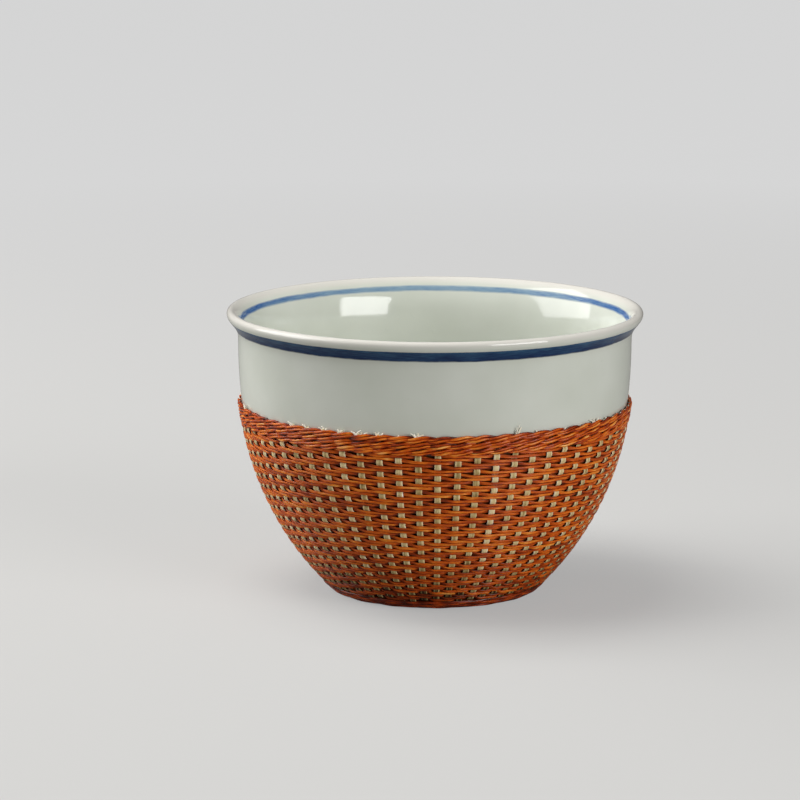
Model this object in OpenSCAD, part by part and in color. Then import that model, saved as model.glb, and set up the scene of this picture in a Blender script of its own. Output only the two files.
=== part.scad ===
// Porcelain tea cup with a woven bamboo jacket.
// The cup stands on its foot ring at z = 0, with its axis along Z. All lengths are in millimetres.
// The jacket's over-and-under weave is drawn here as upright stakes with rings of strand laid round them.

/* [Porcelain cup] */
// Height from the foot ring to the top of the lip
cup_h = 58.7; // [50:0.1:70]
// Radius at the widest circle of the lip
lip_r = 43; // [42:0.5:50]
// Radius of the neck, just under the lip
neck_r = 40.7; // [36:0.1:42]
// Height from the neck to the top of the lip
neck_drop = 5.9; // [4:0.1:9]
// Height of the lip's widest circle below its top
lip_drop = 0.9; // [0.6:0.1:1.2]
// Radius that the wall's curve would reach at the table
toe_r = 20.3; // [20:0.1:26]
// Thickness of the wall
wall_t = 2.3; // [1.6:0.1:3]
// Thickness of the bottom at its centre
floor_t = 3.2; // [2:0.1:6]

/* [Foot ring] */
// Outer radius of the foot ring
foot_r = 20.2; // [17:0.1:20.6]
// Height of the foot ring's upright side
foot_h = 0.9; // [0.5:0.1:1.5]
// Width of the foot ring
foot_w = 2; // [1.2:0.1:4]
// Depth of the recess inside the foot ring
recess_d = 1.6; // [0.8:0.1:3]
// Rounding of the foot ring's edges
foot_round = 0.3; // [0.1:0.05:0.4]

/* [Blue lines] */
// Height of the outer line
outer_line_h = 2.4; // [1:0.1:3]
// Distance of the outer line's upper edge below the top of the lip
outer_line_drop = 1.9; // [1.5:0.1:5]
// Height of the inner line
inner_line_h = 1.4; // [0.5:0.1:1.6]
// Distance of the inner line's upper edge below the top of the lip
inner_line_drop = 1.6; // [1.3:0.1:2.4]
// Thickness of the cobalt colour in the glaze
line_t = 0.12; // [0.08:0.01:0.2]

/* [Jacket] */
// Height of the jacket's upper edge above the foot
jacket_h = 39.7; // [34:0.1:44]
// Gap between the jacket's lowest edge and the table
jacket_lift = 0.15; // [0.1:0.05:0.8]
// Clearance between the layers of the jacket and the wall
seat_gap = 0.04; // [0.03:0.01:0.1]

/* [Stakes] */
// Number of upright stakes
stake_count = 64; // [40:1:72]
// Width of one stake
stake_w = 1.45; // [0.8:0.05:1.6]
// Thickness of one stake
stake_t = 0.28; // [0.15:0.01:0.4]
// How far the cut ends stand above the top border
stake_tip = 0.8; // [0.2:0.1:2]

/* [Woven rows] */
// Number of woven rows between the borders
weaver_rows = 47; // [24:1:52]
// Gap between neighbouring woven rows
row_gap = 0.2; // [0.1:0.01:0.3]
// Thickness of a row where it passes over the stakes
weaver_t = 0.5; // [0.3:0.01:0.7]

/* [Borders] */
// Height of one twined row of the top border, along the wall
top_row_h = 1.3; // [0.8:0.05:1.8]
// Height of one twined row of the base border, along the wall
base_row_h = 1.05; // [0.8:0.05:1.8]
// Thickness of a twined row
border_t = 0.62; // [0.4:0.01:0.9]
// Gap between neighbouring twined rows
border_gap = 0.06; // [0.04:0.01:0.2]

/* [Hidden] */
$fn = 96;

// Colours
glaze_colour = [0.80, 0.82, 0.77];
cobalt_colour = [0.10, 0.16, 0.36];
stake_colour = [0.80, 0.70, 0.50];
strand_colours = [[0.74, 0.38, 0.15], [0.66, 0.31, 0.12]];
border_colour = [0.62, 0.27, 0.10];

// Shape of the wall's curve, as shares: how it leaves the foot and how full its belly is
rise_share = 0.92;
belly_share = 2.36;
neck_h = cup_h - neck_drop;

// Numbers of straight steps along the curves
wall_steps = 26;
lip_steps = 7;
round_steps = 4;
arc_steps = 80;

// Shares of the lip's own sizes that its curves bend by
lip_bend_share = 0.5;
lip_lean_share = 0.26;
throat_share = 0.55;

// Share of the inside bottom that lies flat
floor_flat_share = 0.6;

// Lean of the recess's side, as a share of the recess's depth
foot_lean_share = 0.35;

// Share of a row's height and of its thickness at which its outer face is crowned
crown_share = 0.5;

// Half-length that a slope is measured over, and how far a cut runs past its face
probe = 0.02;
cut_over = 0.5;

// Numbers of rows in the borders, and of bands that the woven rows are grouped in
top_border_rows = 3;
base_border_rows = 2;
band_count = 8;

// Radius of the wall's outer face at height z
function wall_share(z) = min(1, max(0, z / neck_h));
function wall_r(z) = neck_r - (neck_r - toe_r) * pow(1 - pow(wall_share(z), rise_share), belly_share);

// Direction straight out of the wall at height z, in the radial plane
function wall_slope(z) = (wall_r(z + probe) - wall_r(z - probe)) / (probe + probe);
function wall_out(z) = [1, -wall_slope(z)] / norm([1, wall_slope(z)]);

// Point that lies off the wall's outer face by the distance out, at height z
function wall_point(z, out) = [wall_r(z), z] + out * wall_out(z);

// Smooth curve from the first to the last of four points
function bend(p, steps, first = 0) = [
    for (i = [first:steps])
        let (t = i / steps, u = 1 - t)
            u * u * u * p[0] + 3 * u * u * t * p[1] + 3 * u * t * t * p[2] + t * t * t * p[3]
];

// Round corner of radius r about a centre, from one angle to another
function corner(centre, r, from, to, first = 0) = [
    for (i = [first:round_steps])
        let (a = from + (to - from) * i / round_steps)
            centre + r * [cos(a), sin(a)]
];

// The lip's rounded edge
lip_centre = [lip_r - lip_drop, cup_h - lip_drop];
throat_h = neck_h - neck_drop * throat_share;
throat_point = wall_point(throat_h, -wall_t);

// Outer side of the lip, from the neck up to its widest circle
outer_lip = bend([
    [neck_r, neck_h],
    [neck_r, neck_h + neck_drop * lip_bend_share],
    [lip_r, cup_h - lip_drop - neck_drop * lip_lean_share],
    [lip_r, cup_h - lip_drop]
], lip_steps);

// Inner side of the lip, from its top down to the throat
inner_lip = bend([
    [lip_centre[0], cup_h],
    [lip_centre[0] - wall_t * lip_bend_share, cup_h],
    [throat_point[0], neck_h + neck_drop * lip_bend_share],
    throat_point
], lip_steps + lip_steps, 1);

// Outer face of the wall from the foot ring up, and inner face from the throat down
outer_wall = [for (i = [0:wall_steps - 1]) wall_point(foot_h + (neck_h - foot_h) * i / wall_steps, 0)];
floor_h = recess_d + floor_t;
inner_wall = [
    for (i = [1:wall_steps])
        wall_point(throat_h - (throat_h - floor_h) * i / wall_steps, -wall_t)
];

// Inside bottom, a round bend from the wall to the flat centre
inner_low = inner_wall[wall_steps - 1];
bend_r = inner_low[0] - (inner_low[1] - floor_h) * wall_slope(floor_h);
dish = bend([
    inner_low,
    [bend_r, floor_h],
    [bend_r * floor_flat_share, floor_h],
    [0, floor_h]
], lip_steps, 1);

// Foot ring with rounded edges, and the recess inside it
foot_in_r = foot_r - foot_w;
foot = concat(
    [[0, recess_d], [foot_in_r - recess_d * foot_lean_share, recess_d]],
    corner([foot_in_r + foot_round, foot_round], foot_round, 180, 270),
    corner([foot_r - foot_round, foot_round], foot_round, 270, 360),
    [[foot_r, foot_h]]
);

cup_outline = concat(foot, outer_wall, outer_lip,
    corner(lip_centre, lip_drop, 0, 90, 1), inner_lip, inner_wall, dish);

// Band of the section between two heights, where the colour of a line lies
outer_line_top = cup_h - outer_line_drop;
inner_line_top = cup_h - inner_line_drop;

// Wall height where the jacket ends, so that its outer edge stays clear of the table
layer_out = seat_gap + stake_t + seat_gap;
jacket_low_h = jacket_lift - (layer_out + border_t) * wall_out(jacket_lift)[1];

// Distance down the wall from the jacket's upper edge, set against height
function step_len(a, b) = norm([wall_r(b) - wall_r(a), b - a]);
jacket_step = (jacket_h - jacket_low_h) / arc_steps;
down_wall = [
    for (i = 0, s = 0; i <= arc_steps;
        s = s + step_len(jacket_h - i * jacket_step, jacket_h - (i + 1) * jacket_step), i = i + 1)
        [s, jacket_h - i * jacket_step]
];
jacket_len = down_wall[arc_steps][0];
function height_at(s) = lookup(s, down_wall);

// Point of the jacket at distance s down the wall and distance out from it
function jacket_point(s, out) = wall_point(height_at(s), out);

// Where the woven rows start, how far apart they lie, and the height that their strand fills
top_border_len = top_border_rows * top_row_h;
base_border_len = base_border_rows * base_row_h;
row_pitch = (jacket_len - top_border_len - base_border_len) / weaver_rows;
weaver_w = row_pitch - row_gap;

// Solid turned about the cup's axis from the points of its section
module turned(points) {
    rotate_extrude()
        polygon(points);
}

module porcelain_cup() {
    color(glaze_colour)
        difference() {
            turned(cup_outline);
            line_band(outer_line_top, outer_line_h, true, cut_over);
            line_band(inner_line_top, inner_line_h, false, cut_over);
        }
}

// Point at height z on one side of the cup's section
function side_point(side, z) = [lookup(z, [for (p = side) [p[1], p[0]]]), z];
outer_side = concat(outer_wall, outer_lip);
inner_side = [for (i = [len(inner_lip) - 1:-1:0]) inner_lip[i]];

// Ring of colour that lies flush in the cup's surface, or the cut for it
module line_band(top, height, outside, over = 0) {
    side = outside ? outer_side : inner_side;
    way = outside ? 1 : -1;
    between = [for (p = side) if (p[1] > top - height && p[1] < top) p];
    face = concat([side_point(side, top - height)], between, [side_point(side, top)]);
    shown = [for (p = face) p + [way * over, 0]];
    buried = [for (i = [len(face) - 1:-1:0]) face[i] - [way * line_t, 0]];
    turned(concat(shown, buried));
}

module outer_blue_line() {
    color(cobalt_colour)
        line_band(outer_line_top, outer_line_h, true);
}

module inner_blue_line() {
    color(cobalt_colour)
        line_band(inner_line_top, inner_line_h, false);
}

// Flat splint bent to the wall, with its cut end above the border
module stake() {
    spots = [for (i = [0:wall_steps]) jacket_len * i / wall_steps];
    inner = [for (s = spots) jacket_point(s, seat_gap)];
    outer = [for (i = [wall_steps:-1:0]) jacket_point(spots[i], seat_gap + stake_t)];
    tip = [
        wall_point(jacket_h + stake_tip, seat_gap + stake_t),
        wall_point(jacket_h + stake_tip, seat_gap)
    ];
    rotate([90, 0, 0])
        linear_extrude(stake_w, center = true)
            polygon(concat(inner, outer, tip));
}

module stakes() {
    color(stake_colour)
        for (i = [0:stake_count - 1])
            rotate([0, 0, 360 * i / stake_count])
                stake();
}

// Ring of strand with a crowned outer face, centred at distance s down the wall
module row(s, height, thick) {
    half = height / 2;
    shoulder = thick * crown_share;
    turned([
        jacket_point(s + half, layer_out),
        jacket_point(s + half, layer_out + shoulder),
        jacket_point(s + half * crown_share, layer_out + thick),
        jacket_point(s - half * crown_share, layer_out + thick),
        jacket_point(s - half, layer_out + shoulder),
        jacket_point(s - half, layer_out)
    ]);
}

// One band of the weave, which holds its share of the rows, counted from the top
module woven_band(number) {
    first = floor(weaver_rows * (number - 1) / band_count);
    last = floor(weaver_rows * number / band_count) - 1;
    color(strand_colours[number % len(strand_colours)])
        for (i = [first:last])
            row(top_border_len + row_pitch * (i + 1 / 2), weaver_w, weaver_t);
}

module top_border_row(number) {
    color(border_colour)
        row(top_row_h * (number - 1 / 2), top_row_h - border_gap, border_t);
}

module base_border_row(number) {
    color(border_colour)
        row(jacket_len - base_row_h * (number - 1 / 2), base_row_h - border_gap, border_t);
}

porcelain_cup();
outer_blue_line();
inner_blue_line();
stakes();
woven_band(1);  // woven_band_1
woven_band(2);  // woven_band_2
woven_band(3);  // woven_band_3
woven_band(4);  // woven_band_4
woven_band(5);  // woven_band_5
woven_band(6);  // woven_band_6
woven_band(7);  // woven_band_7
woven_band(8);  // woven_band_8
top_border_row(1);  // top_border_row_1
top_border_row(2);  // top_border_row_2
top_border_row(3);  // top_border_row_3
base_border_row(1);  // base_border_row_1
base_border_row(2);  // base_border_row_2
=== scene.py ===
import math

import bpy
import numpy as np
from mathutils import Matrix, Vector


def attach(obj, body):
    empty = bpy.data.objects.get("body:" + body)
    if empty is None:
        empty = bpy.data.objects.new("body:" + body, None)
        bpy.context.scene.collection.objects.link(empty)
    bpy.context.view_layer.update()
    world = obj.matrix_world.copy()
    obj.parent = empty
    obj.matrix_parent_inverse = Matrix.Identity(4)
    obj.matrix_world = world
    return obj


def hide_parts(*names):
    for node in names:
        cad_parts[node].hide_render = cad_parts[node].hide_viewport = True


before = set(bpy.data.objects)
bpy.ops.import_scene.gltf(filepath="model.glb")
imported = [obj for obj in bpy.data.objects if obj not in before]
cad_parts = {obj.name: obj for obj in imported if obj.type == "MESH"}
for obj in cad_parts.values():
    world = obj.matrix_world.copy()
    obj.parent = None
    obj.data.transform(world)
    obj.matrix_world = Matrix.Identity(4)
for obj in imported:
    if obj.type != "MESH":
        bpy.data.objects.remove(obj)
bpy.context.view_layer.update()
rng = np.random.default_rng(7)

MM = 0.001

# Porcelain. The wall under the lip is thicker by WALL_SWELL, reached over SWELL_DEPTH. The throat
# is where the curve of the inner lip meets the inner wall.
CUP_H = 58.7
LIP_R = 43.0
NECK_R = 40.7
NECK_DROP = 5.9
LIP_DROP = 0.9
TOE_R = 20.3
WALL_T = 2.3
WALL_SWELL = 0.9
SWELL_DEPTH = 8.0
FLOOR_T = 3.2
FOOT_R = 20.2
FOOT_H = 0.9
FOOT_W = 2.0
RECESS_D = 1.6
FOOT_ROUND = 0.3
RISE_SHARE = 0.92
BELLY_SHARE = 2.36
THROAT_SHARE = 0.55
THROAT_SWELL_SHARE = 0.3
SWELL_FADE_SHARE = 0.3
LIP_BEND_SHARE = 0.26
DISH_SHARE = 0.6
RECESS_BEND_SHARE = 0.35
COVERED_MARGIN = 1.2
BARE_MARGIN = 0.8
COVERED_RINGS = 24
BARE_RINGS = 18
INNER_RINGS = 44
# Painted highlight on the lip, which fades in between these two depths below the rim
LIP_HIGHLIGHT_FROM = 1.8
LIP_HIGHLIGHT_FULL = 0.3
CUP_SEGMENTS = 224
NECK_H = CUP_H - NECK_DROP

# Blue lines: the wobble of their edges, and how much more colour lies at the left and the right
OUTER_LINE_H = 2.4
OUTER_LINE_DROP = 1.9
OUTER_LINE_WOBBLE = 0.03
OUTER_LINE_LOAD = 0.02
INNER_LINE_H = 1.4
INNER_LINE_DROP = 1.6
INNER_LINE_WOBBLE = 0.04
INNER_LINE_LOAD = 0.34
LOWER_EDGE_FADE = 1.2
LINE_SEGMENTS = 384
LINE_BURIED = 0.08

# Jacket
JACKET_H = 39.7
JACKET_LIFT = 0.15
SEAT_GAP = 0.04
STAKE_COUNT = 64
STAKE_T = 0.28
STAKE_FOOT_GAP = 0.25
WOVEN_ROWS = 47
BANDS = 8
TOP_ROWS = 3
TOP_ROW_H = 1.3
BASE_ROWS = 2
BASE_ROW_H = 1.05
BORDER_T = 0.62

# Weave: strands side by side, each over two stakes and under one. The flat sizes are those under
# the stake. The strand begins to dive DIVE_END columns to the left of that stake, and has risen
# again RISE_END columns to the right of it.
STRANDS = 16
REPEAT = 3
FIRST_WINDOW = 3.88
STRAND_STEP = 0.25
STRAND_H = 0.60
STRAND_FLAT_H = 0.95
STRAND_T = 0.42
STRAND_FLAT_T = 0.26
STRAND_UNDER = 0.21
STRAND_OVER = 0.60
STRAND_DIP = 0.025
STAKE_CLEAR = 0.02
DIVE_CLEAR = 0.03
DIVE_END = 0.60
RISE_END = 0.78
WINDOW_SPREAD = 0.105

# Upright splints: their distance from the wall is SPLINT_MID, give or take SPLINT_SWING
SPLINT_W = 1.30
SPLINT_TAPER = 0.15
SPLINT_HIDDEN_SHARE = 0.7
SPLINT_T = 0.26
SPLINT_MID = 0.40
SPLINT_SWING = 0.25
SPLINT_PHASE_SHARE = 0.75
SPLINT_LEAN = 0.012
TIP_W_SHARE = 0.65
TIP_TAPER = 0.8
# The weave's part of a splint begins and ends this far from the borders
TOP_BLEND = (-0.6, 0.3)
BASE_BLEND = (-0.3, 0.5)

# Torn fibres of the upper ends: many on the ragged stakes, none on the even ones, and two long
# ones on the tall ones. Two numbers are the least and the most.
RAGGED_STAKES = (9, 17, 18, 26, 27, 35, 36, 44, 51, 56, 57, 58, 59, 60, 61, 63)
TALL_STAKES = (4, 31)
EVEN_STAKES = (0, 1, 2, 3, 20, 21, 40, 41, 42)
RAGGED_TIP, PLAIN_TIP = (-0.30, 0.0), (0.1, 0.35)
RAGGED_FIBRES = (3, 6)
PLAIN_FIBRES, PLAIN_ODDS = (0, 1, 2), (0.55, 0.3, 0.15)
RAGGED_REACH, PLAIN_REACH = (0.25, 0.75), (0.1, 0.3)
FIBRE_ROOT = 0.45
FIBRE_START = 0.16
FIBRE_SWAY = 0.40
FIBRE_OUT, FIBRE_CURL = (-0.05, 0.15), (-0.1, 0.25)
FIBRE_W, FIBRE_W_TAPER = (0.35, 0.75), 0.65
FIBRE_T, FIBRE_T_TAPER = 0.22, 0.4
FIBRE_TONE = 1.15
FIBRE_STEPS = 7
TALL_START, TALL_START_STEP = -0.04, 0.12
TALL_REACH, TALL_REACH_STEP = 1.9, -0.7
TALL_SWAY = 0.16

# Borders: two strands of two splints each, twisted round each other
PLY_SPLINT_H = 0.50
PLY_SPLINT_GAP = 0.46
PLY_SPLINT_TILT = 0.12
PLY_MID = 0.47
PLY_SHARE, PLY_SHARE_SWING = 0.98, 0.22
# Where the painted shade of the strand behind begins and ends
PLY_DARK, PLY_LIT = -0.8, 0.4
TOP_SHIFT = 0.12
TOP_SEED = 30
BASE_SEED = 40
TOP_TWINE = dict(
    steps=8, twist=1.0, climb=0.52, swing=0.23, size=1.08, thick=0.48, mid=PLY_MID,
    shade=0.35, behind_shade=0.28)
# The base rows' low tone is painted shade at the foot
BASE_COIL = dict(
    steps=4, twist=0.25, climb=0.10, swing=0.06, size=1.22, thick=0.66, mid=0.56,
    shade=0.06, behind_shade=0.1)

# Tones of the splints and strands, from 0, darkest, to 1, palest. The SHADE values are painted
# shade: where a strand dives under a stake, towards the foot, and on stakes hidden by a border.
# The painted shade of the foot begins at a share of the jacket's length, and the cut's light
# fades between two distances down the wall.
TONE_SPREAD = 0.07
STRAND_TONE = 0.40
STRAND_DIVE_SHADE = 0.28
STRAND_RISE_SHADE = 0.18
STRAND_FOOT_SHADE, STRAND_FOOT_FROM = 0.18, 0.55
STAKE_TONE = 0.60
STAKE_TONE_SPREAD = 0.08
STAKE_FOOT_SHADE, STAKE_FOOT_FROM = 0.45, 0.6
STAKE_HIDDEN_SHADE = 0.8
CUT_LIFT, CUT_FADE = 1.1, (0.1, 0.4)

# Half the step that slopes are taken over, and the number of points on the way down the wall
PROBE = 0.02
WALL_SAMPLES = 2001


# Forms of the cup and the jacket

def unit(v):
    return v / np.linalg.norm(v, axis=-1, keepdims=True)


def smooth(low, high, x):
    t = np.clip((x - low) / (high - low), 0, 1)
    return t * t * (3 - 2 * t)


def wall_r(z):
    share = np.clip(z / NECK_H, 0, 1)
    return NECK_R - (NECK_R - TOE_R) * (1 - share ** RISE_SHARE) ** BELLY_SHARE


def wall_out(z):
    slope = (wall_r(z + PROBE) - wall_r(z - PROBE)) / (2 * PROBE)
    n = np.hypot(1, slope)
    return 1 / n, -slope / n


def wall_point(z, out):
    nr, nz = wall_out(z)
    return np.stack([wall_r(z) + out * nr, z + out * nz], -1)


LAYER_OUT = 2 * SEAT_GAP + STAKE_T
JACKET_LOW = JACKET_LIFT - (LAYER_OUT + BORDER_T) * wall_out(JACKET_LIFT)[1]
down_z = np.linspace(JACKET_H, JACKET_LOW, WALL_SAMPLES)
down_s = np.concatenate([[0], np.cumsum(np.hypot(np.diff(wall_r(down_z)), np.diff(down_z)))])
JACKET_LEN = down_s[-1]
TOP_LEN = TOP_ROWS * TOP_ROW_H
BASE_TOP = JACKET_LEN - BASE_ROWS * BASE_ROW_H
ROW_PITCH = (BASE_TOP - TOP_LEN) / WOVEN_ROWS
WINDOW_STEP = REPEAT * ROW_PITCH


def height_at(s):
    return np.interp(s, down_s, down_z) + np.maximum(0, -s)


def column_angle(column):
    return np.radians(270 + 360 / STAKE_COUNT * column)


def column_width(s):
    return 2 * np.pi * wall_r(height_at(s)) / STAKE_COUNT


def jacket_point(column, s, out):
    p = wall_point(height_at(s), out)
    a = column_angle(column)
    return np.stack([p[..., 0] * np.cos(a), p[..., 0] * np.sin(a), p[..., 1]], -1)


def jacket_out(column, s):
    nr, nz = wall_out(height_at(s))
    a = column_angle(column)
    return np.stack([nr * np.cos(a), nr * np.sin(a), nz + 0 * a], -1)


def wander(x, waves, size):
    """Slow random waves that close on themselves after one turn of the cup."""
    total = 0
    for wave in waves:
        times = max(1, round(STAKE_COUNT / (wave * rng.uniform(0.8, 1.25))))
        total = total + np.sin(x * (2 * np.pi * times / STAKE_COUNT) + rng.uniform(0, 2 * np.pi))
    return total * size / math.sqrt(len(waves))


# Mesh building

class Piece:
    """Gathers the vertices, faces and surface values of one piece."""

    def __init__(self):
        self.verts, self.faces, self.fibre, self.tone, self.across = [], [], [], [], []
        self.count = 0

    def add(self, verts, faces, fibre, tone, across):
        self.verts.append(verts.reshape(-1, 3))
        self.fibre.append(fibre.reshape(-1, 3))
        self.tone.append(np.broadcast_to(tone, fibre.shape[:-1]).reshape(-1))
        self.across.append(np.broadcast_to(across, fibre.shape[:-1]).reshape(-1))
        self.faces += [[i + self.count for i in f] for f in faces]
        self.count += len(self.verts[-1])

    def finish(self, name, node, material):
        mesh = bpy.data.meshes.new(name)
        mesh.from_pydata((np.concatenate(self.verts) * MM).tolist(), [], self.faces)
        mesh.polygons.foreach_set("use_smooth", [True] * len(mesh.polygons))
        fibre = mesh.attributes.new("fibre", "FLOAT_VECTOR", "POINT")
        fibre.data.foreach_set("vector", np.concatenate(self.fibre).astype(np.float32).ravel())
        for label, values in (("tone", self.tone), ("across", self.across)):
            layer = mesh.attributes.new(label, "FLOAT", "POINT")
            layer.data.foreach_set("value", np.concatenate(values).astype(np.float32))
        mesh.materials.append(material)
        mesh.update()
        obj = bpy.data.objects.new(name, mesh)
        bpy.context.collection.objects.link(obj)
        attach(obj, "root")
        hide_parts(node)


def grid_faces(rows, cols, wrap_rows, wrap_cols=True):
    faces = []
    for i in range(rows if wrap_rows else rows - 1):
        for j in range(cols if wrap_cols else cols - 1):
            a, b = i * cols, (i + 1) % rows * cols
            k = (j + 1) % cols
            faces.append([a + j, b + j, b + k, a + k])
    return faces


SEED_STEP = 9.7
SPLINT_SECTION = np.array([
    (1, 0.45), (0.8, 1), (-0.8, 1), (-1, 0.45), (-1, -0.45), (-0.8, -1), (0.8, -1), (1, -0.45)])
# A strand shows two fine splints side by side, with a groove between them
STRAND_SECTION = np.array([
    (1, -0.1), (0.82, 0.7), (0.45, 1), (0.1, 0.55), (-0.1, 0.5), (-0.5, 0.95), (-0.85, 0.65),
    (-1, -0.1), (-0.7, -1), (0.7, -1)])
PLY_SECTION = np.array([
    (1, -0.2), (0.85, 0.5), (0.35, 1), (-0.35, 1), (-0.85, 0.6), (-1, -0.2), (-0.6, -1), (0.6, -1)])
FIBRE_SECTION = np.array([
    (1, 0), (0.3, 0.95), (-0.8, 0.6), (-0.8, -0.6), (0.3, -0.95)])


def tube(piece, centre, outward, width, thick, section, seed, tone, closed=False):
    """Splint that runs along the points of centre, with its flat face turned outward."""
    ahead = np.roll(centre, -1, 0)
    behind = np.roll(centre, 1, 0)
    if not closed:
        ahead[-1], behind[0] = centre[-1], centre[0]
    along = unit(ahead - behind)
    up = unit(outward - (outward * along).sum(-1, keepdims=True) * along)
    side = np.cross(along, up)
    n, m = len(centre), len(section)
    width = np.broadcast_to(width, n)[:, None, None] / 2
    thick = np.broadcast_to(thick, n)[:, None, None] / 2
    a, b = section[None, :, 0, None], section[None, :, 1, None]
    verts = centre[:, None] + side[:, None] * width * a + up[:, None] * thick * b
    length = np.concatenate([[0], np.cumsum(np.linalg.norm(np.diff(centre, axis=0), axis=-1))])
    fibre = np.stack([
        np.broadcast_to(length[:, None], (n, m)),
        (width * a)[..., 0] + SEED_STEP * seed,
        np.broadcast_to((thick * b)[..., 0], (n, m))], -1)
    faces = grid_faces(n, m, closed)
    if not closed:
        faces += [list(range(m)), [(n - 1) * m + j for j in reversed(range(m))]]
    tone = np.broadcast_to(np.reshape(tone, (-1, 1)), (n, m))
    piece.add(verts, faces, fibre, tone, section[None, :, 0])


def bend(p, steps):
    t = np.linspace(0, 1, steps + 1)[:, None]
    p = np.array(p, float)
    u = 1 - t
    return u ** 3 * p[0] + 3 * u * u * t * p[1] + 3 * u * t * t * p[2] + t ** 3 * p[3]


def corner(centre, r, low, high, steps):
    a = np.radians(np.linspace(low, high, steps + 1))
    return np.stack([centre[0] + r * np.cos(a), centre[1] + r * np.sin(a)], -1)


# Materials

def rgb(r, g, b):
    """Colour written as on screen, 0 to 255, turned into linear light."""
    out = []
    for v in (r, g, b):
        v /= 255
        out.append(v / 12.92 if v <= 0.04045 else ((v + 0.055) / 1.055) ** 2.4)
    return (*out, 1)


class Nodes:
    """Short way to write a material's nodes."""

    def __init__(self, name):
        self.material = bpy.data.materials.new(name)
        self.material.use_nodes = True
        self.tree = self.material.node_tree
        self.shader = self.tree.nodes["Principled BSDF"]

    def link(self, source, target):
        self.tree.links.new(source, target)

    def put(self, node, key, value):
        if hasattr(value, "is_linked"):
            self.link(value, node.inputs[key])
        else:
            node.inputs[key].default_value = value

    def attribute(self, name, output):
        node = self.tree.nodes.new("ShaderNodeAttribute")
        node.attribute_name = name
        return node.outputs[output]

    def place(self):
        return self.tree.nodes.new("ShaderNodeTexCoord").outputs["Object"]

    def scaled(self, vector, scale):
        node = self.tree.nodes.new("ShaderNodeMapping")
        self.link(vector, node.inputs["Vector"])
        node.inputs["Scale"].default_value = scale
        return node.outputs["Vector"]

    def apart(self, vector, axis):
        node = self.tree.nodes.new("ShaderNodeSeparateXYZ")
        self.link(vector, node.inputs[0])
        return node.outputs[axis]

    def noise(self, vector, scale, detail, rough=0.5):
        node = self.tree.nodes.new("ShaderNodeTexNoise")
        self.link(vector, node.inputs["Vector"])
        node.inputs["Scale"].default_value = scale
        node.inputs["Detail"].default_value = detail
        node.inputs["Roughness"].default_value = rough
        return node.outputs["Fac"]

    def math(self, kind, a, b=0.0):
        node = self.tree.nodes.new("ShaderNodeMath")
        node.operation = kind
        self.put(node, 0, a)
        self.put(node, 1, b)
        return node.outputs[0]

    def remap(self, value, low, high, to_low, to_high):
        node = self.tree.nodes.new("ShaderNodeMapRange")
        for key, v in (("Value", value), ("From Min", low), ("From Max", high),
                       ("To Min", to_low), ("To Max", to_high)):
            self.put(node, key, v)
        return node.outputs["Result"]

    def ramp(self, value, stops):
        node = self.tree.nodes.new("ShaderNodeValToRGB")
        self.link(value, node.inputs["Fac"])
        elements = node.color_ramp.elements
        while len(elements) < len(stops):
            elements.new(0.5)
        for element, (at, colour) in zip(elements, stops):
            element.position, element.color = at, colour
        return node.outputs["Color"]

    def mix(self, share, a, b):
        """a at share 0, b at share 1. The colour sockets of the node are 6 and 7, and output 2."""
        node = self.tree.nodes.new("ShaderNodeMix")
        node.data_type = "RGBA"
        self.put(node, 0, share)
        self.put(node, 6, a)
        self.put(node, 7, b)
        return node.outputs[2]

    def bump(self, height, strength, distance):
        node = self.tree.nodes.new("ShaderNodeBump")
        self.link(height, node.inputs["Height"])
        node.inputs["Strength"].default_value = strength
        node.inputs["Distance"].default_value = distance
        self.link(node.outputs["Normal"], self.shader.inputs["Normal"])

    def set(self, **values):
        for key, value in values.items():
            self.put(self.shader, key.replace("_", " "), value)
        return self.material


BLACK, WHITE = (0, 0, 0, 1), (1, 1, 1, 1)
GLAZE_IOR = 1.52
BAMBOO_IOR = 1.5
GLAZE_DEEP, GLAZE_THIN = rgb(206, 210, 198), rgb(216, 219, 209)
GLAZE_SPECK, SPECK_SHARE = rgb(176, 168, 150), 0.25
# Painted highlight: the lip is painted lighter and warmer
LIP_HIGHLIGHT, LIP_HIGHLIGHT_SHARE = rgb(226, 218, 211), 0.6
# Painted shade: the porcelain under the jacket is painted dark so that the gaps of the weave look
# shaded
PAINTED_GAP_SHADE = rgb(72, 40, 16)
LINE_EDGE = rgb(206, 210, 200)
# Noise scales: over the glaze per metre, along a brushed line and along a splint per millimetre
CLOUD, SPECKS, PIMPLES, RIPPLE = 60, 900, 1300, 220
PIMPLE_SHARE = 0.5
BRUSH_STREAK, BRUSH_CLOUD, BRUSH_RAG = (0.35, 4.5, 1), (0.12, 0.5, 1), (0.45, 1.2, 1)
STREAK_SHARE = 0.6
RAG_SHARE = 0.35
LONG_FIBRE, FIBRE_PATCH = (0.25, 4.5, 4.5), (0.5, 0.9, 0.9)
PATCH_SIZE = 0.12
EDGE_POWER = 2.5
ROUGH_SPREAD = 0.07
# The middle of a noise, which is spread over the whole range that it drives
LOW, HIGH = 0.3, 0.7


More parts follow.
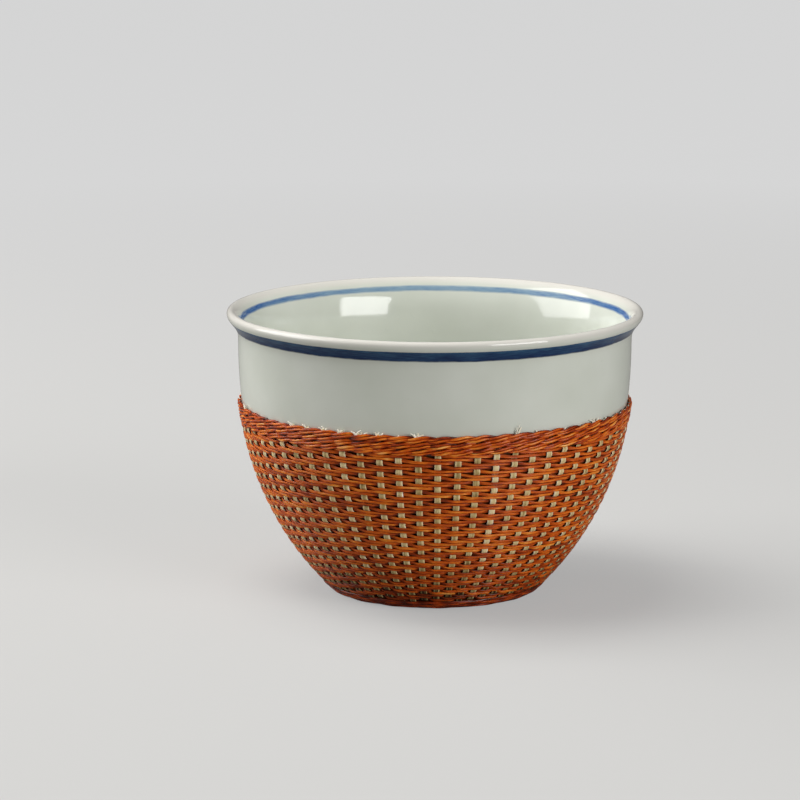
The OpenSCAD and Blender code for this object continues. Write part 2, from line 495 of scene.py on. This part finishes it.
def glaze():
    """Pale glaze with faint clouds, specks and pimples. across is 1 on the lip, where a painted
    highlight makes the glaze lighter and warmer, and tone is 1 where the jacket covers the
    porcelain, which is painted dark there: painted shade that shows in the gaps of the weave."""
    n = Nodes("glaze")
    place = n.place()
    cloud = n.noise(place, CLOUD, detail=3)
    colour = n.ramp(cloud, [(LOW, GLAZE_DEEP), (HIGH, GLAZE_THIN)])
    speck = n.ramp(n.noise(place, SPECKS, detail=1), [(0.80, BLACK), (0.84, WHITE)])
    colour = n.mix(n.math("MULTIPLY", speck, SPECK_SHARE), colour, GLAZE_SPECK)
    # Painted highlight on the lip
    lip_highlight = n.math("MULTIPLY", n.attribute("across", "Fac"), LIP_HIGHLIGHT_SHARE)
    colour = n.mix(lip_highlight, colour, LIP_HIGHLIGHT)
    # Painted shade under the jacket, where tone is 1
    colour = n.mix(n.attribute("tone", "Fac"), colour, PAINTED_GAP_SHADE)
    pimple = n.ramp(n.noise(place, PIMPLES, detail=0), [(0.74, BLACK), (0.82, WHITE)])
    ripple = n.noise(place, RIPPLE, detail=2)
    height = n.math("ADD", ripple, n.math("MULTIPLY", pimple, PIMPLE_SHARE))
    n.bump(height, strength=0.06, distance=0.0003)
    n.set(Base_Color=colour, Roughness=n.remap(cloud, LOW, HIGH, 0.07, 0.13))
    return n.set(IOR=GLAZE_IOR, Specular_IOR_Level=0.6)


def cobalt(name, deep, middle, pale, stops, edge_from, edge_width, painted_top_light):
    """Brushed colour under the glaze, thin at its edges, with a painted highlight that makes its
    upper side lighter.
    tone runs from 0 at mid line to 1 at an edge, and across is how much more colour lies there.
    The colour fades out from edge_from over edge_width, measured in the same way as tone."""
    n = Nodes(name)
    fibre = n.attribute("fibre", "Vector")
    streak = n.noise(n.scaled(fibre, BRUSH_STREAK), 1.0, detail=4, rough=0.6)
    cloud = n.noise(n.scaled(fibre, BRUSH_CLOUD), 1.0, detail=2)
    share = n.math("ADD", n.math("MULTIPLY", streak, STREAK_SHARE),
                   n.math("MULTIPLY", cloud, 1 - STREAK_SHARE))
    # Painted highlight: the upper side of the line is lighter
    share = n.math("ADD", share, n.remap(n.apart(fibre, "Y"), -1, 1, -painted_top_light, painted_top_light))
    share = n.math("SUBTRACT", share, n.attribute("across", "Fac"))
    colour = n.ramp(share, list(zip(stops, (deep, middle, pale))))
    rag = n.noise(n.scaled(fibre, BRUSH_RAG), 1.0, detail=2)
    edge = n.math("ADD", n.attribute("tone", "Fac"), n.math("MULTIPLY", rag, RAG_SHARE))
    fade = n.remap(edge, edge_from, edge_from + edge_width, 0, 1)
    colour = n.mix(fade, colour, LINE_EDGE)
    n.set(Base_Color=colour, Roughness=n.remap(streak, LOW, HIGH, 0.08, 0.14))
    return n.set(IOR=GLAZE_IOR, Specular_IOR_Level=0.12)


def bamboo(name, stops, rough, streak_size, gloss, edge_tone_and_shade, painted_top_edge_light):
    """Split bamboo: tone picks each splint's colour, and fine fibres run along it. Both edges are
    made lighter, or darker where that value is below 0, which is painted shade in the creases
    between splints. The upper edge is painted lighter and the lower darker, as painted light from
    above."""
    n = Nodes(name)
    fibre = n.attribute("fibre", "Vector")
    tone = n.attribute("tone", "Fac")
    long_fibre = n.noise(n.scaled(fibre, LONG_FIBRE), 1.0, detail=5, rough=0.65)
    patch = n.noise(n.scaled(fibre, FIBRE_PATCH), 1.0, detail=3)
    share = n.math("ADD", tone, n.remap(long_fibre, LOW, HIGH, -streak_size, streak_size))
    share = n.math("ADD", share, n.remap(patch, LOW, HIGH, -PATCH_SIZE, PATCH_SIZE))
    across = n.attribute("across", "Fac")
    edge = n.math("POWER", n.math("ABSOLUTE", across), EDGE_POWER)
    # Lighter edges, or darker ones as painted shade in the creases between splints
    share = n.math("ADD", share, n.remap(edge, 0, 1, -edge_tone_and_shade, edge_tone_and_shade))
    # Painted light: the upper edge is lighter and the lower edge darker, as if lit from above
    share = n.math("ADD", share, n.remap(across, -1, 1, painted_top_edge_light / 2, -painted_top_edge_light / 2))
    colour = n.ramp(share, stops)
    n.bump(long_fibre, strength=0.45, distance=0.00007)
    rough = n.remap(long_fibre, LOW, HIGH, rough - ROUGH_SPREAD, rough + ROUGH_SPREAD)
    n.set(Base_Color=colour, Roughness=rough)
    return n.set(IOR=BAMBOO_IOR, Specular_IOR_Level=gloss)


glaze_material = glaze()
# The outer line gets a painted highlight along its upper side
outer_line_material = cobalt(
    "outer_cobalt", rgb(26, 42, 78), rgb(40, 66, 102), rgb(58, 92, 124),
    (0.34, 0.5, 0.66), edge_from=1.05, edge_width=0.40, painted_top_light=0.10)
inner_line_material = cobalt(
    "inner_cobalt", rgb(48, 90, 150), rgb(122, 150, 172), rgb(160, 178, 188),
    (0.12, 0.44, 0.84), edge_from=0.65, edge_width=0.70, painted_top_light=0.0)
# Dyed splints get painted shade at their edges and painted light on their upper edges
dyed_material = bamboo("dyed_bamboo", [
    (0.0, rgb(78, 27, 4)), (0.25, rgb(150, 52, 6)), (0.5, rgb(206, 89, 12)),
    (0.75, rgb(232, 136, 38)), (1.0, rgb(250, 196, 112))],
    rough=0.36, streak_size=0.32, gloss=0.26, edge_tone_and_shade=-0.14, painted_top_edge_light=0.18)
border_material = bamboo("dyed_bamboo_border", [
    (0.0, rgb(76, 24, 3)), (0.25, rgb(144, 45, 5)), (0.5, rgb(202, 82, 10)),
    (0.75, rgb(232, 132, 38)), (1.0, rgb(250, 194, 114))],
    rough=0.28, streak_size=0.34, gloss=0.30, edge_tone_and_shade=-0.16, painted_top_edge_light=0.24)
# Its darkest stop is the painted shade of stakes hidden in the borders and at the foot
pale_material = bamboo("pale_bamboo", [
    (0.0, rgb(52, 30, 12)), (0.3, rgb(170, 145, 92)), (0.6, rgb(225, 201, 149)),
    (0.85, rgb(242, 226, 186)), (1.0, rgb(250, 244, 228))],
    rough=0.42, streak_size=0.18, gloss=0.25, edge_tone_and_shade=0.18, painted_top_edge_light=0.0)


# Porcelain cup

lip_centre = (LIP_R - LIP_DROP, CUP_H - LIP_DROP)
neck_mid_h = NECK_H + NECK_DROP * 0.5
throat_h = NECK_H - NECK_DROP * THROAT_SHARE
throat = wall_point(throat_h, -WALL_T - THROAT_SWELL_SHARE * WALL_SWELL)
throat_slope = (1 - THROAT_SWELL_SHARE) * WALL_SWELL / SWELL_DEPTH
floor_h = RECESS_D + FLOOR_T
outer_lip = bend([
    (NECK_R, NECK_H), (NECK_R, neck_mid_h),
    (LIP_R, CUP_H - LIP_DROP - NECK_DROP * LIP_BEND_SHARE), (LIP_R, CUP_H - LIP_DROP)], steps=16)
lip_top = corner(lip_centre, LIP_DROP, 0, 90, steps=10)
inner_lip = bend([
    (lip_centre[0], CUP_H), (lip_centre[0] - WALL_T * 0.5, CUP_H),
    (throat[0] + throat_slope * (neck_mid_h - throat_h), neck_mid_h), throat], steps=26)
outer_wall = wall_point(np.concatenate([
    np.linspace(FOOT_H, JACKET_H - COVERED_MARGIN, COVERED_RINGS),
    np.linspace(JACKET_H - BARE_MARGIN, NECK_H, BARE_RINGS)]), 0)
inner_h = np.linspace(throat_h, floor_h, INNER_RINGS)
deep = throat_h - inner_h
swell = THROAT_SWELL_SHARE + (1 - THROAT_SWELL_SHARE) * (1 - np.exp(-deep / SWELL_DEPTH))
swell = swell * (1 - smooth(SWELL_FADE_SHARE, 1, deep / deep[-1]))
inner_wall = wall_point(inner_h, -WALL_T - WALL_SWELL * swell)
low = inner_wall[-1]
low_nr, low_nz = wall_out(floor_h)
bend_r = low[0] - (low[1] - floor_h) * (-low_nz / low_nr)
dish = bend([low, (bend_r, floor_h), (bend_r * DISH_SHARE, floor_h), (0, floor_h)], steps=14)
foot_in = FOOT_R - FOOT_W
foot = np.concatenate([
    [(0, RECESS_D), (foot_in * 0.5, RECESS_D),
     (foot_in - RECESS_D * RECESS_BEND_SHARE, RECESS_D)],
    corner((foot_in + FOOT_ROUND, FOOT_ROUND), FOOT_ROUND, 180, 270, steps=5),
    corner((FOOT_R - FOOT_ROUND, FOOT_ROUND), FOOT_ROUND, 270, 360, steps=5)])
outline = np.concatenate([
    foot, outer_wall[:-1], outer_lip, lip_top[1:], inner_lip[1:], inner_wall[1:], dish[1:]])
outer_side = np.concatenate([outer_wall[:-1], outer_lip])
inner_side = np.concatenate([inner_lip, inner_wall[1:]])[::-1]


def lathe(piece, points, tones, rim, segments):
    """Closed form turned about the cup's axis. The first and last points lie on the axis."""
    a = np.linspace(0, 2 * np.pi, segments, endpoint=False)[:, None]
    rows = points[1:-1]
    verts = np.stack([rows[:, 0] * np.cos(a), rows[:, 0] * np.sin(a), rows[:, 1] + 0 * a], -1)
    n, m = len(a), len(rows)
    faces = grid_faces(n, m, True, False)
    ends = np.array([(0, 0, points[0][1]), (0, 0, points[-1][1])])
    for i in range(n):
        k = (i + 1) % n
        faces.append([n * m, k * m, i * m])
        faces.append([n * m + 1, i * m + m - 1, k * m + m - 1])
    verts = np.concatenate([verts.reshape(-1, 3), ends])
    tones, rim = (np.concatenate([np.tile(v[1:-1], n), [0, 0]]) for v in (tones, rim))
    piece.add(verts, faces, verts, tones, rim)


# The outside is painted dark where the jacket covers it, painted shade that shows in the gaps of
# the weave, and the lip is painted lighter and warmer, a painted highlight
cup = Piece()
place = np.arange(len(outline))
gap_shade_mask = (place > len(foot)) & (place < len(foot) + COVERED_RINGS)
lip_highlight_mask = smooth(CUP_H - LIP_HIGHLIGHT_FROM, CUP_H - LIP_HIGHLIGHT_FULL, outline[:, 1])
lathe(cup, outline, gap_shade_mask.astype(float), lip_highlight_mask, CUP_SEGMENTS)
cup.finish("porcelain_body", "porcelain_cup", glaze_material)


# Places across a line, from its lower to its upper edge, and how far each lies proud of the glaze
LINE_ACROSS = np.array([-1, -0.9, -0.7, -0.35, 0, 0.35, 0.7, 0.9, 1])
LINE_PROUD = np.array([-0.03, 0.004, 0.012, 0.014, 0.014, 0.014, 0.012, 0.004, -0.03])


def line_ring(name, node, side, way, top, height, wobble, load, material):
    """Brushed ring of colour, a hair proud of the glaze, with uneven edges that sink into it.
    side holds the outline that it lies on, and way is 1 on the outside and -1 on the inside."""
    column = np.linspace(0, STAKE_COUNT, LINE_SEGMENTS, endpoint=False)
    high = top + wander(column, (3, 7, 16), wobble)
    low = top - height + wander(column, (2.5, 6, 14), wobble)
    z = (high + low)[:, None] / 2 + LINE_ACROSS * (high - low)[:, None] / 2

    def side_r(h):
        return np.interp(h, side[:, 1], side[:, 0])

    slope = (side_r(z + PROBE) - side_r(z - PROBE)) / (2 * PROBE)
    n = np.hypot(1, slope)
    nr, nz = way / n, -way * slope / n
    r = side_r(z)
    face = np.stack([r + nr * LINE_PROUD, z + nz * LINE_PROUD], -1)
    back = np.stack([r - nr * LINE_BURIED, z - nz * LINE_BURIED], -1)[:, ::-1][:, 1:-1]
    ring = np.concatenate([face, back], 1)
    if way < 0:
        ring = ring[:, ::-1]
    a = column_angle(column)[:, None]
    verts = np.stack([ring[..., 0] * np.cos(a), ring[..., 0] * np.sin(a), ring[..., 1]], -1)
    across = np.concatenate([LINE_ACROSS, LINE_ACROSS[::-1][1:-1]])
    edge = np.where(across < 0, -LOWER_EDGE_FADE * across, across)
    spread = across * height / 2
    if way < 0:
        edge, spread = edge[::-1], spread[::-1]
    m = ring.shape[1]
    length = np.broadcast_to(a * NECK_R, (LINE_SEGMENTS, m))
    fibre = np.stack([length, np.broadcast_to(spread, (LINE_SEGMENTS, m)), 0 * length], -1)
    piece = Piece()
    piece.add(verts, grid_faces(LINE_SEGMENTS, m, True), fibre, edge, load * np.cos(a) ** 2)
    piece.finish(name, node, material)


line_ring("outer_line_ring", "outer_blue_line", outer_side, 1, CUP_H - OUTER_LINE_DROP,
          OUTER_LINE_H, OUTER_LINE_WOBBLE, OUTER_LINE_LOAD, outer_line_material)
line_ring("inner_line_ring", "inner_blue_line", inner_side, -1, CUP_H - INNER_LINE_DROP,
          INNER_LINE_H, INNER_LINE_WOBBLE, INNER_LINE_LOAD, inner_line_material)


# Stakes

def splint_out(column, s):
    """The stake stands out where a strand passes under it, and lies in between."""
    turn = 2 * np.pi * (s - FIRST_WINDOW + column * ROW_PITCH * SPLINT_PHASE_SHARE) / WINDOW_STEP
    woven = SPLINT_MID + SPLINT_SWING * np.cos(turn)
    return PLY_MID + (woven - PLY_MID) * in_weave(s)


def in_weave(s):
    """1 in the woven part, 0 in the borders."""
    from_top = smooth(TOP_LEN + TOP_BLEND[0], TOP_LEN + TOP_BLEND[1], s)
    return from_top * (1 - smooth(BASE_TOP + BASE_BLEND[0], BASE_TOP + BASE_BLEND[1], s))


def stake_width(s):
    """Splints taper downward, and are narrower where a border hides them."""
    width = SPLINT_W - SPLINT_TAPER * np.clip(s / JACKET_LEN, 0, 1)
    return width * (SPLINT_HIDDEN_SHARE + (1 - SPLINT_HIDDEN_SHARE) * in_weave(s))


def fibre_count(k, ragged):
    """How many torn fibres stake k has. One draw is made for every stake."""
    if ragged:
        count = rng.integers(*RAGGED_FIBRES, endpoint=True)
    else:
        count = rng.choice(PLAIN_FIBRES, p=PLAIN_ODDS)
    if k in EVEN_STAKES:
        return 0
    return 2 if k in TALL_STAKES else count


stakes = Piece()
weave_s = np.arange(TOP_LEN, BASE_TOP, WINDOW_STEP / 5)
for k in range(STAKE_COUNT):
    ragged = k in RAGGED_STAKES
    tip = rng.uniform(*(RAGGED_TIP if ragged else PLAIN_TIP))
    s = np.concatenate([
        [tip, 0.4, 0.8, 1.4, 2, 2.6, 3.3], weave_s,
        [BASE_TOP, BASE_TOP + 1, JACKET_LEN - STAKE_FOOT_GAP]])
    column = k + wander(s, (30, 60), SPLINT_LEAN)
    tone = STAKE_TONE + rng.normal(0, STAKE_TONE_SPREAD)
    # Painted shade towards the foot, and deep painted shade where a border hides the stake
    tone = tone - STAKE_FOOT_SHADE * smooth(STAKE_FOOT_FROM, 1, s / JACKET_LEN)
    tone = tone - STAKE_HIDDEN_SHADE * (1 - in_weave(s))
    tone = tone + CUT_LIFT * (1 - smooth(*CUT_FADE, s))
    width = stake_width(s) * (TIP_W_SHARE + (1 - TIP_W_SHARE) * smooth(0, TIP_TAPER, s))
    tube(stakes, jacket_point(column, s, splint_out(column, s)), jacket_out(column, s), width,
         SPLINT_T, SPLINT_SECTION, k, tone)
    for j in range(fibre_count(k, ragged)):
        start = k + rng.uniform(-FIBRE_START, FIBRE_START)
        reach = rng.uniform(*(RAGGED_REACH if ragged else PLAIN_REACH))
        if k in TALL_STAKES:
            start = k + TALL_START + TALL_START_STEP * j
            reach = TALL_REACH + TALL_REACH_STEP * j
            sway = TALL_SWAY
        else:
            sway = rng.normal(0, FIBRE_SWAY) * reach
        t = np.linspace(0, 1, FIBRE_STEPS)
        fibre_s = FIBRE_ROOT - t * (FIBRE_ROOT + reach)
        fibre_column = start + sway * t * t
        fibre_out = PLY_MID + rng.uniform(*FIBRE_OUT) + rng.uniform(*FIBRE_CURL) * t * t
        tube(stakes, jacket_point(fibre_column, fibre_s, fibre_out),
             jacket_out(fibre_column, fibre_s), rng.uniform(*FIBRE_W) * (1 - FIBRE_W_TAPER * t),
             FIBRE_T * (1 - FIBRE_T_TAPER * t), FIBRE_SECTION, k + 0.3 * j, FIBRE_TONE)
stakes.finish("bamboo_stakes", "stakes", pale_material)


# Woven strands

# Places along one repeat of a strand, in columns from where it passes under a stake
OFFSETS = np.array([0, 0.22, 0.4, 0.56, 0.75, 1, 1.3, 1.7, 2, 2.25, 2.44, 2.6, 2.78])
band_rows = [WOVEN_ROWS * n // BANDS for n in range(BANDS + 1)]
band_edges = [TOP_LEN + ROW_PITCH * rows for rows in band_rows]
bands = [Piece() for n in range(BANDS)]


def strand_s(strand, column):
    """A strand's distance down the wall. It sinks by STRAND_STEP of a row from column to column."""
    return FIRST_WINDOW + ROW_PITCH * (strand + column * STRAND_STEP)


def crossing_near(strand, s):
    """The under-crossing of this strand that lies nearest to the distance s."""
    column = ((s - FIRST_WINDOW) / ROW_PITCH - strand) / STRAND_STEP
    return REPEAT * round((column + strand) / REPEAT) - strand


for strand in range(STRANDS):
    cuts = [crossing_near(strand, edge) for edge in band_edges]
    if strand_s(strand, cuts[0]) < TOP_LEN - 0.1:
        cuts[0] += REPEAT
    if strand_s(strand, cuts[-1]) > BASE_TOP + 0.1:
        cuts[-1] -= REPEAT
    first = cuts[0]
    count = (cuts[-1] - first) // REPEAT
    column = np.concatenate([
        (first + REPEAT * np.arange(count)[:, None] + OFFSETS).ravel(), [cuts[-1]]])
    # away is the way from the nearest under-crossing, less than 0 to the left of it, and clear is
    # where the strand comes out from under its stake, both in columns
    away = (column - first + REPEAT / 2) % REPEAT - REPEAT / 2
    s = strand_s(strand, column)
    clear = stake_width(s) / 2 / column_width(s) + STAKE_CLEAR
    over = np.where(
        away < 0, smooth(clear + DIVE_CLEAR, DIVE_END, -away), smooth(clear, RISE_END, away))
    out = STRAND_UNDER + (STRAND_OVER - STRAND_UNDER) * over
    out = out + STRAND_DIP * np.cos(2 * np.pi * away) * over + wander(column, (2, 5, 11), 0.012)
    s = s + WINDOW_SPREAD * np.sin(2 * np.pi * away / REPEAT) + wander(column, (3, 8, 19), 0.03)
    height = STRAND_FLAT_H + (STRAND_H - STRAND_FLAT_H) * over
    height = height * (1 + wander(column, (4, 9, 23), 0.06))
    thick = STRAND_FLAT_T + (STRAND_T - STRAND_FLAT_T) * over
    tone = STRAND_TONE + rng.normal(0, TONE_SPREAD) + wander(column, (3, 7, 17, 40), 0.08)
    # Painted shade where the strand dives under a stake, deeper to its left as a painted shadow of
    # the stake
    tone = tone - np.where(away < 0, STRAND_DIVE_SHADE, STRAND_RISE_SHADE) * (1 - over)
    # Painted shade towards the foot
    tone = tone - STRAND_FOOT_SHADE * smooth(STRAND_FOOT_FROM, 1, s / JACKET_LEN)
    centre = jacket_point(column, s, out)
    outward = jacket_out(column, s)
    for n in range(BANDS):
        begin = (cuts[n] - first) // REPEAT * len(OFFSETS)
        end = (cuts[n + 1] - first) // REPEAT * len(OFFSETS) + 1
        part = slice(begin, end)
        if end - begin > 1:
            tube(bands[n], centre[part], outward[part], height[part], thick[part],
                 STRAND_SECTION, strand + n * 0.37, tone[part])
for n, band in enumerate(bands):
    band.finish(f"woven_strands_{n + 1}", f"woven_band_{n + 1}", dyed_material)


# Twined borders

def twined_row(name, node, s_mid, shift, seed, steps, twist, climb, swing, size, thick, mid,
               shade, behind_shade):
    """Two strands of two splints each, twisted round each other. At twist 1 the strands cross
    once between each two stakes. The strands climb and swing out by turns about s_mid and mid,
    and the one behind gets painted shade, set by the last argument. steps is the number of rings
    from stake to stake."""
    column = np.linspace(0, STAKE_COUNT, STAKE_COUNT * steps, endpoint=False)
    piece = Piece()
    for ply in range(2):
        phase = np.pi * (twist * column - shift + ply) + wander(column, (3, 5, 9), 0.16)
        front = np.cos(phase)
        ply_s = s_mid - climb / 2 * np.sin(phase) + wander(column, (4, 11), 0.03)
        ply_out = mid + swing * front + wander(column, (3, 8), 0.015)
        share = size * (PLY_SHARE + PLY_SHARE_SWING * front)
        for side in (-0.5, 0.5):
            s = ply_s + side * PLY_SPLINT_GAP * share + wander(column, (2, 5, 9), 0.03)
            out = ply_out + side * PLY_SPLINT_TILT * np.sin(phase) + wander(column, (2, 5), 0.02)
            height = PLY_SPLINT_H * share * (1 + wander(column, (2, 5), 0.08))
            tone = shade + rng.normal(0, TONE_SPREAD) + wander(column, (1.5, 2.2, 5, 13), 0.16)
            # Painted shade on the strand that goes behind
            tone = tone - behind_shade * (1 - smooth(PLY_DARK, PLY_LIT, front))
            tube(piece, jacket_point(column, s, out), jacket_out(column, s), height, thick,
                 PLY_SECTION, seed + ply * 0.4 + side * 0.3, tone, closed=True)
    piece.finish(name, node, border_material)


for i in range(TOP_ROWS):
    twined_row(f"top_twine_{i + 1}", f"top_border_row_{i + 1}", TOP_ROW_H * (i + 0.5),
               TOP_SHIFT * i, TOP_SEED + i, **TOP_TWINE)
for i in range(BASE_ROWS):
    twined_row(f"base_coil_{i + 1}", f"base_border_row_{i + 1}",
               JACKET_LEN - BASE_ROW_H * (i + 0.5), 0.0, BASE_SEED + i, **BASE_COIL)


# Floor, light and camera

# Sizes and distances in metres
FLOOR_R = 4
FLOOR_SIDES = 64
FADE_FROM, FADE_TO = 0.15, 0.7
FLOOR_NEAR, FLOOR_FAR = rgb(142, 141, 138), rgb(30, 30, 30)
GLOW_NEAR, GLOW_FAR = 0.34, 0.66


def floor_material():
    """Pale floor. Its paleness comes more and more from what the camera alone sees, and less from
    the lamps, with the distance from the cup, so that it looks even near a lamp and far away."""
    n = Nodes("floor")
    path = n.tree.nodes.new("ShaderNodeLightPath")
    seen = path.outputs["Is Camera Ray"]
    length = n.tree.nodes.new("ShaderNodeVectorMath")
    length.operation = "LENGTH"
    n.link(n.place(), length.inputs[0])
    far = n.remap(length.outputs["Value"], FADE_FROM, FADE_TO, 0, 1)
    glow = n.math("MULTIPLY", seen, n.remap(far, 0, 1, GLOW_NEAR, GLOW_FAR))
    n.set(Base_Color=n.mix(far, FLOOR_NEAR, FLOOR_FAR), Roughness=0.9, Specular_IOR_Level=0.0)
    return n.set(Emission_Color=WHITE, Emission_Strength=glow)


floor_mesh = bpy.data.meshes.new("floor")
ring = [(FLOOR_R * math.cos(a), FLOOR_R * math.sin(a), 0)
        for a in np.linspace(0, 2 * np.pi, FLOOR_SIDES, endpoint=False)]
floor_mesh.from_pydata(ring, [], [list(range(FLOOR_SIDES))])
floor_mesh.materials.append(floor_material())
floor = bpy.data.objects.new("floor", floor_mesh)
bpy.context.collection.objects.link(floor)


LAMP_TARGET = Vector((0, 0, 0.035))


def lamp(name, at, size, power, mirrored):
    """Soft lamp that faces the cup. One that isn't mirrored leaves no reflection in the glaze."""
    data = bpy.data.lights.new(name, "AREA")
    data.shape, data.size, data.size_y = "RECTANGLE", size[0], size[1]
    data.energy = power
    obj = bpy.data.objects.new(name, data)
    obj.location = at
    obj.rotation_mode = "QUATERNION"
    obj.rotation_quaternion = (LAMP_TARGET - Vector(at)).to_track_quat("-Z", "Y")
    obj.visible_glossy = mirrored
    bpy.context.collection.objects.link(obj)


# Place and size in metres, and power in watts
lamp("left_window", (-1.02, 0.09, 0.56), (0.90, 1.00), 10.8, mirrored=True)
lamp("back_window", (-0.87, 0.68, 0.40), (0.60, 0.60), 4.5, mirrored=False)
lamp("right_window", (0.79, -0.76, 0.36), (0.66, 0.60), 8.8, mirrored=True)
lamp("high_window", (-0.30, 0.05, 1.10), (0.60, 0.60), 8.0, mirrored=False)

WORLD_STRENGTH = 0.08
world = bpy.data.worlds.new("plain")
world.use_nodes = True
bpy.context.scene.world = world
background = world.node_tree.nodes["Background"]
background.inputs["Color"].default_value = WHITE
background.inputs["Strength"].default_value = WORLD_STRENGTH

# The camera looks from CAMERA_TURN to the left of the front and CAMERA_RISE above the level of the
# lip, and the middle of the lip is seen at LIP_PIXEL. FOCAL is in pixels.
PHOTO_SIZE = 800
FOCAL = 3141
LIP_PIXEL = (434.8, 311.5)
CAMERA_TURN = math.radians(1)
CAMERA_RISE = math.radians(9.35)
CAMERA_DISTANCE = 0.65
SENSOR = 36
lip_mid = Vector((0, 0, CUP_H - LIP_DROP)) * MM
from_cup = Vector((
    -math.sin(CAMERA_TURN) * math.cos(CAMERA_RISE),
    -math.cos(CAMERA_TURN) * math.cos(CAMERA_RISE),
    math.sin(CAMERA_RISE)))
eye = lip_mid + from_cup * CAMERA_DISTANCE
seen = Vector((
    (LIP_PIXEL[0] - PHOTO_SIZE / 2) / FOCAL,
    (PHOTO_SIZE / 2 - LIP_PIXEL[1]) / FOCAL,
    -1)).normalized()
way = (lip_mid - eye).normalized()
tilt = math.asin(way.z / math.hypot(seen.y, seen.z)) - math.atan2(seen.z, seen.y)
tilted = Matrix.Rotation(tilt, 3, "X") @ seen
heading = math.atan2(way.y, way.x) - math.atan2(tilted.y, tilted.x)

camera_data = bpy.data.cameras.new("camera")
camera_data.sensor_width = SENSOR
camera_data.lens = FOCAL / PHOTO_SIZE * SENSOR
camera_data.clip_start, camera_data.clip_end = 0.01, 20
camera = bpy.data.objects.new("camera", camera_data)
camera.location = eye
aim = Matrix.Rotation(heading, 3, "Z") @ Matrix.Rotation(tilt, 3, "X")
camera.rotation_euler = aim.to_euler()
bpy.context.collection.objects.link(camera)
bpy.context.scene.camera = camera

bpy.context.scene.view_settings.view_transform = "Standard"
